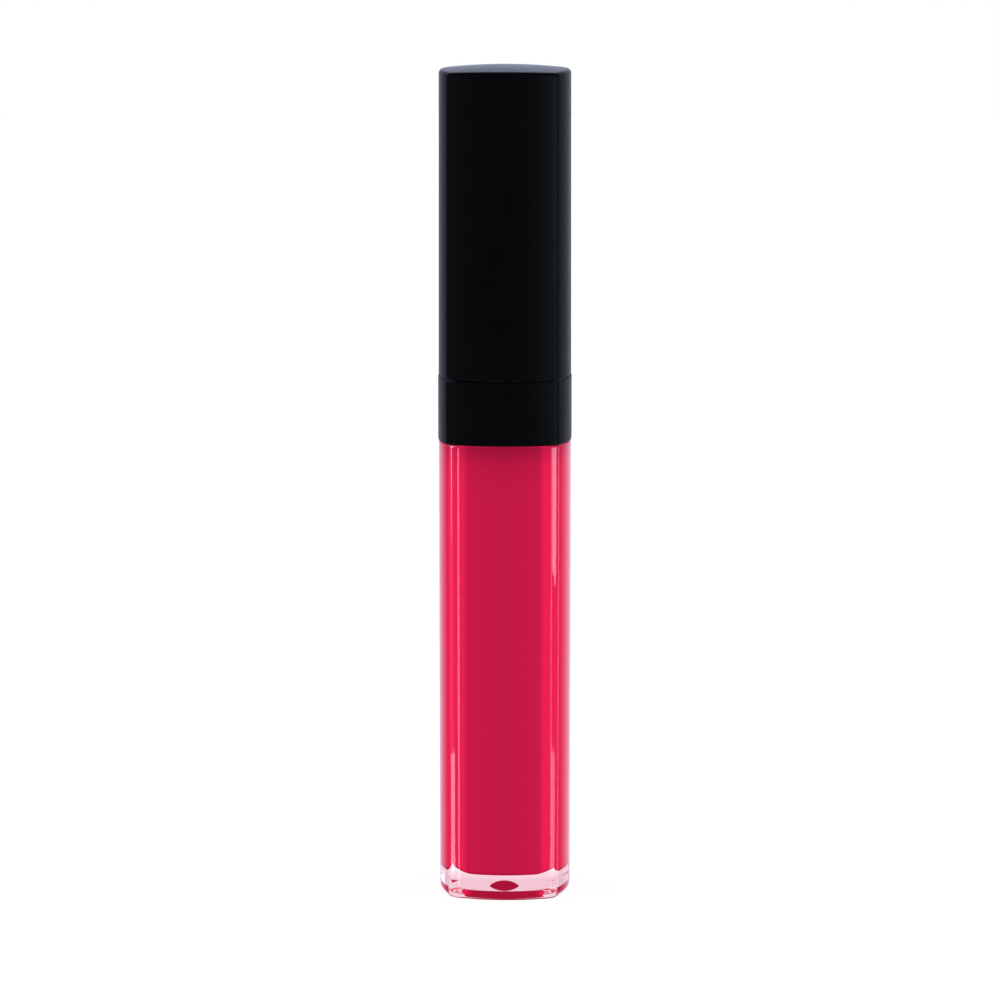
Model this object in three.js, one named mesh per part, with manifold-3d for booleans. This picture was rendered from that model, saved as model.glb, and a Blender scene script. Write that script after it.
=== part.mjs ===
// Lip gloss tube: a clear square bottle with convex faces, a black collar, and a black screw cap
// that carries the wand. Millimetres, +Z up, origin at the middle of the base.
import * as THREE from 'three';
import { mergeVertices } from 'three/addons/utils/BufferGeometryUtils.js';
import Module from 'manifold-3d';

const wasm = await Module();
wasm.setup();

// ---- Driving dimensions ----

// Square section: four shallow arcs joined by small corner arcs.
const REFERENCE_HALF = 8.5; // half width at the middle of a face
const FACE_RADIUS = 17;
const CORNER_RADIUS = 1.2;

// Heights of the outside, from the base up.
const SHOULDER_Z = 58.5; // top of the visible bottle
const SEAM_GAP = 0.15;
const COLLAR_HEIGHT = 8.1;
const CAP_TOP_Z = 106.1;

// Half widths of the outside: both mouldings have a slight draft.
const BOTTLE_HALF_BASE = 8.36;
const BOTTLE_HALF_TOP = 8.44;
const COLLAR_HALF = 8.5;
const CAP_HALF_MOUTH = 8.43;
const CAP_HALF_TOP = 8.35;
const CROWN_RADIUS = 70; // the cap's top is part of a large sphere

// Bottle.
const BASE_FILLET = 1.0;
const RECESS_DEPTH = 0.9; // shallow square recess under the base, with sloping sides
const RECESS_HALF = 6.5; // at its mouth
const RECESS_TOP_HALF = 5.15;
const DIMPLE_RADIUS = 1.7; // in the middle of the recess, left by the moulding gate
const DIMPLE_DEPTH = 0.7;
const DIMPLE_STEPS = 4;
const CAVITY_FLOOR_Z = 2.9;
const CAVITY_HALF = 5.5;
const CAVITY_FILLET = 1.0;
const CAVITY_TOP_Z = 62.5;
const REBATE_HALF = 7.1; // square step that the collar is pressed over
const REBATE_TOP_Z = 64.4;
const NECK_RING_RADIUS = 5.95;
const NECK_RING_TOP_Z = 66.2;
const NECK_RING_CHAMFER = 0.4;
const NECK_RADIUS = 5.2;
const NECK_BORE = 4.3;
const NECK_TOP_Z = 77.6;

// Screw thread, on the neck and inside the inner cap.
const THREAD_LEAD = 2.5;
const THREAD_HEIGHT = 0.7;
const THREAD_ROOT_WIDTH = 1.1;
const THREAD_CREST_WIDTH = 0.5;
const THREAD_SINK = 0.2; // how far a ridge is sunk into its wall
const THREAD_STEPS = 24; // for each turn
const THREAD_END_HEIGHT = 0.15; // share of the full height where a ridge starts
const THREAD_END_SLOPE = 8;
const NECK_THREAD_Z = 72.2;
const NECK_THREAD_TURNS = 1.25;
const CAP_THREAD_TURNS = 1;

// Gloss.
const GLOSS_CLEARANCE = 0.25;
const GLOSS_TOP_Z = 61.5;
const WAND_CHANNEL_RADIUS = 2.75;

// Wiper.
const WIPER_FLANGE_RADIUS = 5;
const WIPER_FLANGE_THICKNESS = 0.7;
const WIPER_OUTER = 4.05;
const WIPER_BORE = 3.35;
const WIPER_LIP_Z = 63.8;
const WIPER_ORIFICE = 2.6; // opened by the applicator
const WIPER_LIP_WALL = 0.5;
const WIPER_CONE_HEIGHT = 3.2; // from the lip up to the full sleeve
const WIPER_LIP_HEIGHT = 0.6;

// Cap.
const CAP_WALL_HALF = 7.2; // half width of the hollow in the outer cap
const CAP_TOP_WALL = 2.1;
const CAP_FILLET = 0.5;
const CAP_HOLLOW_FILLET = 0.8;
const CROWN_SHARES = [0.65, 0.3]; // rings that carry the crown's curve towards the middle
const INNER_CAP_OUTER = 6.95;
const INNER_CAP_BORE = 6.25;
const INNER_CAP_LIFT = 0.25; // the inner cap stops this far above the mouth
const CEILING_Z = 79.8;
const CEILING_THICKNESS = 1.3;
const SOCKET_RADIUS = 6.2;
const SOCKET_BORE = 5.2;
const SOCKET_TOP_Z = 86;
const FIN_WIDTH = 1.2;
const FIN_REACH = 8.1;
const FIN_LIFT = 3; // the fins start this far above the inner cap's lower rim
const RIB_WIDTH = 1.2;
const RIB_REACH = 5.8;
const RIB_FROM_Z = 86.6;
const WEIGHT_RADIUS = 5.4;
const WEIGHT_FROM_Z = 88;
const WEIGHT_TO_Z = 99;
const WEIGHT_CHAMFER = 0.5;
const LINER_RADIUS = 5.2;
const LINER_BORE = 2.3;
const LINER_THICKNESS = 0.8;

// Wand.
const STEM_RADIUS = 1.8;
const STEM_HOLE = 2.1; // hole in the inner cap that the rod hangs through
const HEAD_RADIUS = 4.7;
const HEAD_THICKNESS = 1.2;
const BOSS_RADIUS = 2.4;
const BOSS_HEIGHT = 1.6;
const SOCKET_DEPTH = 6;
const STEM_SOCKET = 1.35;
const PEG_RADIUS = 1.05;
const PEG_LENGTH = 5.4;
const CORE_TIP_Z = 6.5;
const CORE_LENGTH = 14.8;
const CORE_RADIUS = 1.6;
const CORE_NOSE = 4; // length of the rounded tip
const CORE_FLATTENING = 0.82; // thickness of the doe-foot over its width
const CORE_NOSE_STEPS = 5;
const SLANT_ANGLE = THREE.MathUtils.degToRad(11);
const SLANT_OFFSET = 0.35; // where the slanted face passes the tip, from the axis
const FLOCK_GAP = 0.25;
const FLOCK_THICKNESS = 0.45;
const FLOCK_LENGTH = 14.2;

const GAP = 0.25; // between pieces that touch on the real object
const MOUTH_GAP = 0.2; // same, between the collar and the cap and under the wiper's flange
const CHANNEL_GAP = 0.4; // under the applicator, in the gloss
const BROKEN_EDGE = 0.15; // outside edges that only have their sharpness taken off
const SOFT_EDGE = 0.3; // same, on the hidden rims
const OVERLAP = 0.4; // how far joined solids run into each other
const OVERSHOOT = 1; // how far cutting solids run past what they cut

const ROUND_SIDES = 32;
const SECTION_STEPS = 4; // along each arc of the square section
const FILLET_STEPS = 3;
const SMALL_EDGE = 0.4; // rounded edges under this radius are plain chamfers

const COLLAR_FROM_Z = SHOULDER_Z + SEAM_GAP;
const COLLAR_TO_Z = COLLAR_FROM_Z + COLLAR_HEIGHT;
const CAP_MOUTH_Z = COLLAR_TO_Z + MOUTH_GAP;
const WIPER_FLANGE_Z = NECK_TOP_Z + MOUTH_GAP;

// ---- Solids ----

function solidOf(geometry) {
  const bare = geometry.index ? geometry.toNonIndexed() : geometry.clone();
  bare.deleteAttribute('normal');
  bare.deleteAttribute('uv');
  const merged = mergeVertices(bare, 1e-5);
  return new wasm.Manifold(new wasm.Mesh({
    numProp: 3,
    vertProperties: new Float32Array(merged.attributes.position.array),
    triVerts: new Uint32Array(merged.index.array),
  }));
}

function meshOf(name, solid, material) {
  const { vertProperties, triVerts } = solid.getMesh();
  const geometry = new THREE.BufferGeometry();
  geometry.setAttribute('position', new THREE.BufferAttribute(vertProperties, 3));
  geometry.setIndex(new THREE.BufferAttribute(triVerts, 1));
  geometry.computeVertexNormals();
  const mesh = new THREE.Mesh(geometry, material);
  mesh.name = name;
  return mesh;
}

// Outline of the square section at its reference size.
function squareOutline() {
  const faceCentre = REFERENCE_HALF - FACE_RADIUS;
  const reach = FACE_RADIUS - CORNER_RADIUS;
  const cornerCentre = (faceCentre + Math.sqrt(2 * reach ** 2 - faceCentre ** 2)) / 2;
  const halfFace = Math.atan2(cornerCentre, cornerCentre - faceCentre);
  const shape = new THREE.Shape();
  for (let side = 0; side < 4; side++) {
    const facing = side * Math.PI / 2;
    const diagonal = facing + Math.PI / 4;
    const halfCorner = Math.PI / 4 - halfFace;
    shape.absarc(
      faceCentre * Math.cos(facing), faceCentre * Math.sin(facing),
      FACE_RADIUS, facing - halfFace, facing + halfFace,
    );
    shape.absarc(
      cornerCentre * Math.SQRT2 * Math.cos(diagonal), cornerCentre * Math.SQRT2 * Math.sin(diagonal),
      CORNER_RADIUS, diagonal - halfCorner, diagonal + halfCorner,
    );
  }
  return shape;
}

// A solid through square sections, bottom to top. Each level has a half width and a height, and a
// crowned level drops away from the axis as the cap's top does.
function loft(levels) {
  const geometry = new THREE.ExtrudeGeometry(squareOutline(), {
    depth: levels.length - 1,
    steps: levels.length - 1,
    bevelEnabled: false,
    curveSegments: SECTION_STEPS,
  });
  const position = geometry.attributes.position;
  for (let i = 0; i < position.count; i++) {
    const level = levels[Math.round(position.getZ(i))];
    const x = position.getX(i) * level.half / REFERENCE_HALF;
    const y = position.getY(i) * level.half / REFERENCE_HALF;
    const drop = level.crowned ? (x * x + y * y) / (2 * CROWN_RADIUS) : 0;
    position.setXYZ(i, x, y, level.z - drop);
  }
  return solidOf(geometry);
}

// The quarter turn of a rounded edge, in as many steps as its radius needs.
function quarterTurn(radius) {
  const steps = radius < SMALL_EDGE ? 1 : FILLET_STEPS;
  return Array.from({ length: steps + 1 }, (_, i) => i / steps * Math.PI / 2);
}

function lowerFillet(half, z, radius) {
  return quarterTurn(radius).map((angle) => ({
    half: half - radius * (1 - Math.sin(angle)),
    z: z + radius * (1 - Math.cos(angle)),
  }));
}

function upperFillet(half, z, radius, crowned = false) {
  return quarterTurn(radius).map((angle) => ({
    half: half - radius * (1 - Math.cos(angle)),
    z: z - radius * (1 - Math.sin(angle)),
    crowned,
  }));
}

// A turned solid about the Z axis. The profile is a list of [radius, z].
function turned(profile) {
  const points = profile.map(([radius, z]) => new THREE.Vector2(radius, z));
  return solidOf(new THREE.LatheGeometry(points, ROUND_SIDES).rotateX(Math.PI / 2));
}

function rod(radius, from, to) {
  return turned([[0, from], [radius, from], [radius, to], [0, to]]);
}

function ring(bore, radius, from, to) {
  return turned([[bore, from], [radius, from], [radius, to], [bore, to], [bore, from]]);
}

function block(width, depth, height, x, y, z, angle = 0) {
  const geometry = new THREE.BoxGeometry(width, depth, height).translate(x, y, z).rotateZ(angle);
  return solidOf(geometry);
}

// A helical ridge, outward from the neck or inward from the cap, that runs out to nothing at each
// end. It is a straight bar wrapped round the wall.
function threadRidge({ wall, direction, startZ, startTurn, turns }) {
  const profile = new THREE.Shape([
    new THREE.Vector2(-direction * THREAD_SINK, -THREAD_ROOT_WIDTH / 2),
    new THREE.Vector2(direction * THREAD_HEIGHT, -THREAD_CREST_WIDTH / 2),
    new THREE.Vector2(direction * THREAD_HEIGHT, THREAD_CREST_WIDTH / 2),
    new THREE.Vector2(-direction * THREAD_SINK, THREAD_ROOT_WIDTH / 2),
  ]);
  const steps = Math.round(turns * THREAD_STEPS);
  const geometry = new THREE.ExtrudeGeometry(profile, { depth: steps, steps, bevelEnabled: false });
  const position = geometry.attributes.position;
  for (let i = 0; i < position.count; i++) {
    const along = position.getZ(i) / steps;
    const runOut = Math.min(1, THREAD_END_HEIGHT + THREAD_END_SLOPE * Math.min(along, 1 - along));
    const rise = Math.min(position.getX(i) * direction, THREAD_HEIGHT * runOut);
    const radius = wall + direction * rise;
    const angle = (startTurn + along * turns) * 2 * Math.PI;
    const z = startZ + THREAD_LEAD * along * turns - position.getY(i);
    position.setXYZ(i, radius * Math.cos(angle), radius * Math.sin(angle), z);
  }
  return solidOf(geometry);
}

// ---- Pieces ----

function bottle() {
  const body = loft([
    ...lowerFillet(BOTTLE_HALF_BASE, 0, BASE_FILLET),
    ...upperFillet(BOTTLE_HALF_TOP, SHOULDER_Z, BROKEN_EDGE),
  ]);
  const rebate = loft([
    { half: REBATE_HALF, z: SHOULDER_Z - OVERLAP },
    ...upperFillet(REBATE_HALF, REBATE_TOP_Z, SOFT_EDGE),
  ]);
  const neck = turned([
    [0, REBATE_TOP_Z - OVERLAP],
    [NECK_RING_RADIUS, REBATE_TOP_Z - OVERLAP],
    [NECK_RING_RADIUS, NECK_RING_TOP_Z - NECK_RING_CHAMFER],
    [NECK_RADIUS, NECK_RING_TOP_Z],
    [NECK_RADIUS, NECK_TOP_Z - SOFT_EDGE],
    [NECK_RADIUS - SOFT_EDGE, NECK_TOP_Z],
    [0, NECK_TOP_Z],
  ]);
  const thread = threadRidge({
    wall: NECK_RADIUS,
    direction: 1,
    startZ: NECK_THREAD_Z,
    startTurn: 0,
    turns: NECK_THREAD_TURNS,
  });
  const cavity = loft([
    ...lowerFillet(CAVITY_HALF, CAVITY_FLOOR_Z, CAVITY_FILLET),
    ...upperFillet(CAVITY_HALF, CAVITY_TOP_Z, CAVITY_FILLET),
  ]);
  const bore = rod(NECK_BORE, CAVITY_TOP_Z - OVERSHOOT, NECK_TOP_Z + OVERSHOOT);
  const outside = body.add(rebate).add(neck).add(thread);
  return outside.subtract(cavity).subtract(bore).subtract(recess());
}

// The recess under the base, with the round dimple in its ceiling.
function recess() {
  const square = loft([
    { half: RECESS_HALF, z: -OVERSHOOT },
    { half: RECESS_HALF, z: 0 },
    { half: RECESS_TOP_HALF, z: RECESS_DEPTH },
  ]);
  const sphereRadius = (DIMPLE_RADIUS ** 2 + DIMPLE_DEPTH ** 2) / (2 * DIMPLE_DEPTH);
  const rim = Math.asin(DIMPLE_RADIUS / sphereRadius);
  const arc = Array.from({ length: DIMPLE_STEPS }, (_, i) => {
    const angle = rim * (1 - i / DIMPLE_STEPS);
    const rise = DIMPLE_DEPTH - sphereRadius * (1 - Math.cos(angle));
    return [sphereRadius * Math.sin(angle), RECESS_DEPTH + rise];
  });
  return square.add(turned([[0, 0], [DIMPLE_RADIUS, 0], ...arc, [0, RECESS_DEPTH + DIMPLE_DEPTH]]));
}

function glossFill() {
  const half = CAVITY_HALF - GLOSS_CLEARANCE;
  const fill = loft([
    ...lowerFillet(half, CAVITY_FLOOR_Z + GLOSS_CLEARANCE, CAVITY_FILLET),
    { half, z: GLOSS_TOP_Z - CAVITY_FILLET },
    { half: half - CAVITY_FILLET, z: GLOSS_TOP_Z },
  ]);
  const channelFrom = CORE_TIP_Z - FLOCK_GAP - FLOCK_THICKNESS - CHANNEL_GAP;
  return fill.subtract(rod(WAND_CHANNEL_RADIUS, channelFrom, GLOSS_TOP_Z + OVERSHOOT));
}

function wiper() {
  const flangeTo = WIPER_FLANGE_Z + WIPER_FLANGE_THICKNESS;
  const sleeveFrom = WIPER_LIP_Z + WIPER_CONE_HEIGHT;
  return turned([
    [WIPER_ORIFICE, WIPER_LIP_Z],
    [WIPER_ORIFICE + WIPER_LIP_WALL, WIPER_LIP_Z],
    [WIPER_OUTER, sleeveFrom],
    [WIPER_OUTER, WIPER_FLANGE_Z],
    [WIPER_FLANGE_RADIUS, WIPER_FLANGE_Z],
    [WIPER_FLANGE_RADIUS, flangeTo],
    [WIPER_BORE + SOFT_EDGE, flangeTo],
    [WIPER_BORE, flangeTo - SOFT_EDGE],
    [WIPER_BORE, sleeveFrom + WIPER_LIP_HEIGHT],
    [WIPER_ORIFICE, WIPER_LIP_Z + WIPER_LIP_HEIGHT],
    [WIPER_ORIFICE, WIPER_LIP_Z],
  ]);
}

function collar() {
  const outside = loft([
    ...lowerFillet(COLLAR_HALF, COLLAR_FROM_Z, BROKEN_EDGE),
    ...upperFillet(COLLAR_HALF, COLLAR_TO_Z, BROKEN_EDGE),
  ]);
  const pocket = loft([
    { half: REBATE_HALF + GAP, z: COLLAR_FROM_Z - OVERSHOOT },
    { half: REBATE_HALF + GAP, z: REBATE_TOP_Z + GAP },
  ]);
  const hole = rod(NECK_RING_RADIUS + GAP, REBATE_TOP_Z, COLLAR_TO_Z + OVERSHOOT);
  return outside.subtract(pocket).subtract(hole);
}

function outerCap() {
  const topHalf = CAP_HALF_TOP - CAP_FILLET;
  const shell = loft([
    ...lowerFillet(CAP_HALF_MOUTH, CAP_MOUTH_Z, BROKEN_EDGE),
    ...upperFillet(CAP_HALF_TOP, CAP_TOP_Z, CAP_FILLET, true),
    ...CROWN_SHARES.map((share) => ({ half: topHalf * share, z: CAP_TOP_Z, crowned: true })),
  ]);
  const hollow = loft([
    { half: CAP_WALL_HALF, z: CAP_MOUTH_Z - OVERSHOOT },
    ...upperFillet(CAP_WALL_HALF, CAP_TOP_Z - CAP_TOP_WALL, CAP_HOLLOW_FILLET),
  ]);
  let cap = shell.subtract(hollow);
  const ribDepth = CAP_WALL_HALF + OVERLAP - RIB_REACH;
  const ribHeight = CAP_TOP_Z - CAP_TOP_WALL + OVERLAP - RIB_FROM_Z;
  for (let side = 0; side < 4; side++) {
    cap = cap.add(block(
      ribDepth, RIB_WIDTH, ribHeight,
      RIB_REACH + ribDepth / 2, 0, RIB_FROM_Z + ribHeight / 2,
      side * Math.PI / 2,
    ));
  }
  return cap;
}

function innerCap() {
  const skirtFrom = CAP_MOUTH_Z + INNER_CAP_LIFT;
  const ceilingTop = CEILING_Z + CEILING_THICKNESS;
  const body = turned([
    [STEM_HOLE, CEILING_Z],
    [INNER_CAP_BORE, CEILING_Z],
    [INNER_CAP_BORE, skirtFrom + SOFT_EDGE],
    [INNER_CAP_BORE + SOFT_EDGE, skirtFrom],
    [INNER_CAP_OUTER, skirtFrom],
    [INNER_CAP_OUTER, ceilingTop],
    [SOCKET_RADIUS, ceilingTop],
    [SOCKET_RADIUS, SOCKET_TOP_Z],
    [SOCKET_BORE, SOCKET_TOP_Z],
    [SOCKET_BORE, ceilingTop],
    [STEM_HOLE, ceilingTop],
    [STEM_HOLE, CEILING_Z],
  ]);
  const thread = threadRidge({
    wall: INNER_CAP_BORE,
    direction: -1,
    startZ: NECK_THREAD_Z - THREAD_LEAD / 4,
    startTurn: 0.25,
    turns: CAP_THREAD_TURNS,
  });
  let cap = body.add(thread);
  const finFrom = skirtFrom + FIN_LIFT;
  const finInner = SOCKET_RADIUS - OVERLAP;
  const finDepth = FIN_REACH - finInner;
  for (let corner = 0; corner < 4; corner++) {
    const fin = block(
      finDepth, FIN_WIDTH, SOCKET_TOP_Z - finFrom,
      finInner + finDepth / 2, 0, (finFrom + SOCKET_TOP_Z) / 2,
      (corner + 0.5) * Math.PI / 2,
    );
    const inside = rod(INNER_CAP_OUTER - OVERLAP, finFrom - OVERSHOOT, ceilingTop);
    cap = cap.add(fin.subtract(inside));
  }
  return cap;
}

function capWeight() {
  return turned([
    [0, WEIGHT_FROM_Z],
    [WEIGHT_RADIUS - WEIGHT_CHAMFER, WEIGHT_FROM_Z],
    [WEIGHT_RADIUS, WEIGHT_FROM_Z + WEIGHT_CHAMFER],
    [WEIGHT_RADIUS, WEIGHT_TO_Z - WEIGHT_CHAMFER],
    [WEIGHT_RADIUS - WEIGHT_CHAMFER, WEIGHT_TO_Z],
    [0, WEIGHT_TO_Z],
  ]);
}

function sealLiner() {
  const from = WIPER_FLANGE_Z + WIPER_FLANGE_THICKNESS + GAP;
  return ring(LINER_BORE, LINER_RADIUS, from, from + LINER_THICKNESS);
}

function wandStem() {
  const from = CORE_TIP_Z + CORE_LENGTH + GAP;
  const headFrom = CEILING_Z + CEILING_THICKNESS + GAP;
  const headTo = headFrom + HEAD_THICKNESS;
  return turned([
    [0, from + SOCKET_DEPTH],
    [STEM_SOCKET, from + SOCKET_DEPTH],
    [STEM_SOCKET, from],
    [STEM_RADIUS - BROKEN_EDGE, from],
    [STEM_RADIUS, from + BROKEN_EDGE],
    [STEM_RADIUS, headFrom],
    [HEAD_RADIUS, headFrom],
    [HEAD_RADIUS, headTo],
    [BOSS_RADIUS, headTo],
    [BOSS_RADIUS, headTo + BOSS_HEIGHT],
    [0, headTo + BOSS_HEIGHT],
  ]);
}

// The doe-foot shape grown by a skin all round: a flattened bullet with one slanted face.
function doeFoot(skin, length) {
  const radius = CORE_RADIUS + skin;
  const nose = Array.from({ length: CORE_NOSE_STEPS + 1 }, (_, i) => {
    const angle = i / CORE_NOSE_STEPS * Math.PI / 2;
    return [radius * Math.sin(angle), CORE_TIP_Z + CORE_NOSE - (CORE_NOSE + skin) * Math.cos(angle)];
  });
  const bullet = turned([...nose, [radius, CORE_TIP_Z + length], [0, CORE_TIP_Z + length]]);
  const flattened = bullet.scale([1, CORE_FLATTENING, 1]);
  const side = 2 * (CORE_LENGTH + CORE_RADIUS);
  const slice = new THREE.BoxGeometry(side, side, side);
  slice.translate(side / 2, 0, 0).rotateY(SLANT_ANGLE).translate(SLANT_OFFSET + skin, 0, CORE_TIP_Z);
  return flattened.subtract(solidOf(slice));
}

function applicatorCore() {
  const top = CORE_TIP_Z + CORE_LENGTH;
  return doeFoot(0, CORE_LENGTH).add(rod(PEG_RADIUS, top - OVERLAP, top + PEG_LENGTH));
}

function applicatorFlock() {
  return doeFoot(FLOCK_GAP + FLOCK_THICKNESS, FLOCK_LENGTH).subtract(doeFoot(FLOCK_GAP, CORE_LENGTH));
}

// ---- Materials ----

function plastic(color, roughness) {
  return new THREE.MeshStandardMaterial({ color, roughness, metalness: 0 });
}

const clear = plastic(0xf6d9e1, 0.05);
clear.transparent = true;
clear.opacity = 0.3;
const crimson = plastic(0xc11844, 0.15);
const steel = new THREE.MeshStandardMaterial({ color: 0x9a9da1, roughness: 0.4, metalness: 1 });

const tube = new THREE.Group();
tube.add(
  meshOf('bottle', bottle(), clear),
  meshOf('gloss_fill', glossFill(), crimson),
  meshOf('wiper', wiper(), plastic(0xe9e6e0, 0.35)),
  meshOf('collar', collar(), plastic(0x0c0d0e, 0.45)),
  meshOf('outer_cap', outerCap(), plastic(0x0c0d0e, 0.5)),
  meshOf('inner_cap', innerCap(), plastic(0x161718, 0.35)),
  meshOf('cap_weight', capWeight(), steel),
  meshOf('seal_liner', sealLiner(), plastic(0xf2f1ec, 0.6)),
  meshOf('wand_stem', wandStem(), plastic(0x121314, 0.3)),
  meshOf('applicator_core', applicatorCore(), plastic(0xdad6cf, 0.5)),
  meshOf('applicator_flock', applicatorFlock(), plastic(0xc42a50, 0.9)),
);

export default tube;
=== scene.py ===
import math
from typing import NamedTuple

import bpy
from mathutils import Matrix, Vector, noise


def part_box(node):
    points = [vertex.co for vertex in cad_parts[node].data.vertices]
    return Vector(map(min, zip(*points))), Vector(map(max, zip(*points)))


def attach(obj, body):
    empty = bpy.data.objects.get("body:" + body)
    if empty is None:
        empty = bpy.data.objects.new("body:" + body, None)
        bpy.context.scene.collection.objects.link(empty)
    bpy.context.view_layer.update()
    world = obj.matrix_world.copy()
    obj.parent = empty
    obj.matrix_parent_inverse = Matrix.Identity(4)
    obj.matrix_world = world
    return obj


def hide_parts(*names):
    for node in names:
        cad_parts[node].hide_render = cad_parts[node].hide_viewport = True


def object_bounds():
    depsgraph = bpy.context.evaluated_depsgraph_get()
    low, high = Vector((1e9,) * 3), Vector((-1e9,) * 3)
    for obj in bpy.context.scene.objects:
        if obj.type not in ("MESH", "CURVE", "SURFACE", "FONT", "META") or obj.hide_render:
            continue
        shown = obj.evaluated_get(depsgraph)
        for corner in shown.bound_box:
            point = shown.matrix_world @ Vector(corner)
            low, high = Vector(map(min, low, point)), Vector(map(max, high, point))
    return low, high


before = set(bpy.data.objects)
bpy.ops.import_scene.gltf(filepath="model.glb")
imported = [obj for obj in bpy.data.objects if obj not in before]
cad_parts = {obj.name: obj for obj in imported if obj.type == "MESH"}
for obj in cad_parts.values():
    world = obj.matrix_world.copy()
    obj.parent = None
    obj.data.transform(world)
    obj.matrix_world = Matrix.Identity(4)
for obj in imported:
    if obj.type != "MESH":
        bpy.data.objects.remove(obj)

cad_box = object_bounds()

MM = 0.001

# ---- Places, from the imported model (mm) ----


def height_range(node):
    """Lowest and highest Z of a CAD node."""
    low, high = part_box(node)
    return low[2] / MM, high[2] / MM


NECK_TOP = height_range("bottle")[1]
COLLAR_LOW, COLLAR_HIGH = height_range("collar")
CAP_LOW, CAP_HIGH = height_range("outer_cap")
GLOSS_HIGH = height_range("gloss_fill")[1]
WIPER_LOW, WIPER_HIGH = height_range("wiper")
INNER_LOW, INNER_HIGH = height_range("inner_cap")
WEIGHT_LOW, WEIGHT_HIGH = height_range("cap_weight")
LINER_LOW, LINER_HIGH = height_range("seal_liner")
STEM_LOW, STEM_HIGH = height_range("wand_stem")
CORE_LOW, CORE_HIGH = height_range("applicator_core")
FLOCK_LOW, FLOCK_HIGH = height_range("applicator_flock")
COLLAR_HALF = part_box("collar")[1][0] / MM

# ---- Sizes that the boxes don't give (mm) ----

# Square section: four shallow arcs joined by small corner arcs.
REFERENCE_HALF = 8.5
FACE_RADIUS = 17
CORNER_RADIUS = 1.2
FACE_STEPS = 24
CORNER_STEPS = 12

GAP = 0.25  # between pieces that touch on the real tube

BOTTLE_HALF_BASE = 8.36
BOTTLE_HALF_TOP = 8.44
SHOULDER = 58.5
BASE_FILLET = 1.0
RECESS_DEPTH = 0.9
RECESS_HALF = 6.5
RECESS_TOP_HALF = 5.15
DIMPLE_RADIUS = 1.7
DIMPLE_DEPTH = 0.7
DIMPLE_STEPS = 12
REBATE_HALF = 7.1
REBATE_TOP = 64.4
NECK_RING = 5.95
NECK_RING_TOP = 66.1
NECK_RADIUS = 5.2
NECK_BORE = 4.3
CAVITY_HALF = 5.5
CAVITY_FLOOR = 2.9
CAVITY_TOP = 62.5
CAVITY_FILLET = 1.0

THREAD_LEAD = 2.5
THREAD_HEIGHT = 0.7
THREAD_ROOT = 1.1
THREAD_CREST = 0.5
THREAD_RUN_OUT = 8  # how steeply a ridge rises from its ends, over its length
THREAD_LEVELS = 60
NECK_THREAD = 72.2
NECK_THREAD_TURNS = 1.25
CAP_THREAD = NECK_THREAD - THREAD_LEAD / 4
CAP_THREAD_TURNS = 1.0

SEAM_DEPTH = 0.3  # relief groove in the collar's top, which makes the seam dark
SEAM_RUN = 0.4  # from the collar's rim down to its floor
SEAM_WIDTH = 1.3  # from the rim to its inner side
SEAM_SLOPE = 0.05  # how far its inner side leans

WETTING = 0.02  # how far the gloss reaches into the wall that it wets
MENISCUS = 0.4
SHADED_DEPTH = 0.5  # the lowest part of the gloss, which is darker with painted shade
BOUNCE_LIGHT_FULL = 2.6  # heights between which the painted bounce light in the clear base fades out
BOUNCE_LIGHT_NONE = 4.2
CHANNEL_RADIUS = 2.62

CAP_HALF_MOUTH = 8.43
CAP_HALF_TOP = 8.35
CAP_HOLLOW_HALF = 7.2
CAP_TOP_WALL = 2.1
RIB_REACH = 5.8  # the ribs that hold the weight come this near to the axis
RIB_WIDTH = 1.2
RIB_LOW = 86.6
RIB_RINGS = 4
HOLLOW_FILLET = 0.6
HOLLOW_FLAT = 0.9  # the ribs stop this far under the hollow's top
RIM_RINGS = 9
CROWN_RINGS = 14
CROWN_START = 0.15  # from the rim's inner edge to the first ring of the crown

LEDGE = 0.02  # height over which a rib, a fin or a ledge begins
CAP_FILLET = 0.5
CROWN_RADIUS = 70

INNER_OUTER = 6.95
INNER_BORE = 6.25
CEILING_LOW = 79.8
CEILING_HIGH = 81.1
SOCKET_OUTER = 6.2
SOCKET_BORE = 5.2
FIN_REACH = 8.05
FIN_WIDTH = 1.1
FIN_LIFT = 3

WIPER_FLANGE = 4.95
WIPER_FLANGE_THICKNESS = 0.7
WIPER_OUTER = 4.05
WIPER_BORE = 3.35
WIPER_ORIFICE = 2.6
WIPER_LIP_WALL = 0.5
WIPER_CONE_HEIGHT = 3.2

LINER_BORE = 2.3
LINER_RADIUS = 5.2

WEIGHT_RADIUS = 5.4
WEIGHT_EDGE = 0.4
WEIGHT_GROOVE = 0.15
WEIGHT_GROOVES = 3
WEIGHT_GROOVE_INSET = 2.5  # from the ends of the slug
DRILL_RADIUS = 0.8
DRILL_DEPTH = 0.6

STEM_RADIUS = 1.8
STEM_HOLE = 2.1
STEM_SOCKET = 1.35
STEM_SOCKET_DEPTH = 6
FILM_HEIGHT = 26  # how far up the rod the film of gloss fades out
HEAD_RADIUS = 4.7
HEAD_LOW = 81.35
HEAD_HIGH = 82.55
BOSS_RADIUS = 2.4

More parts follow.
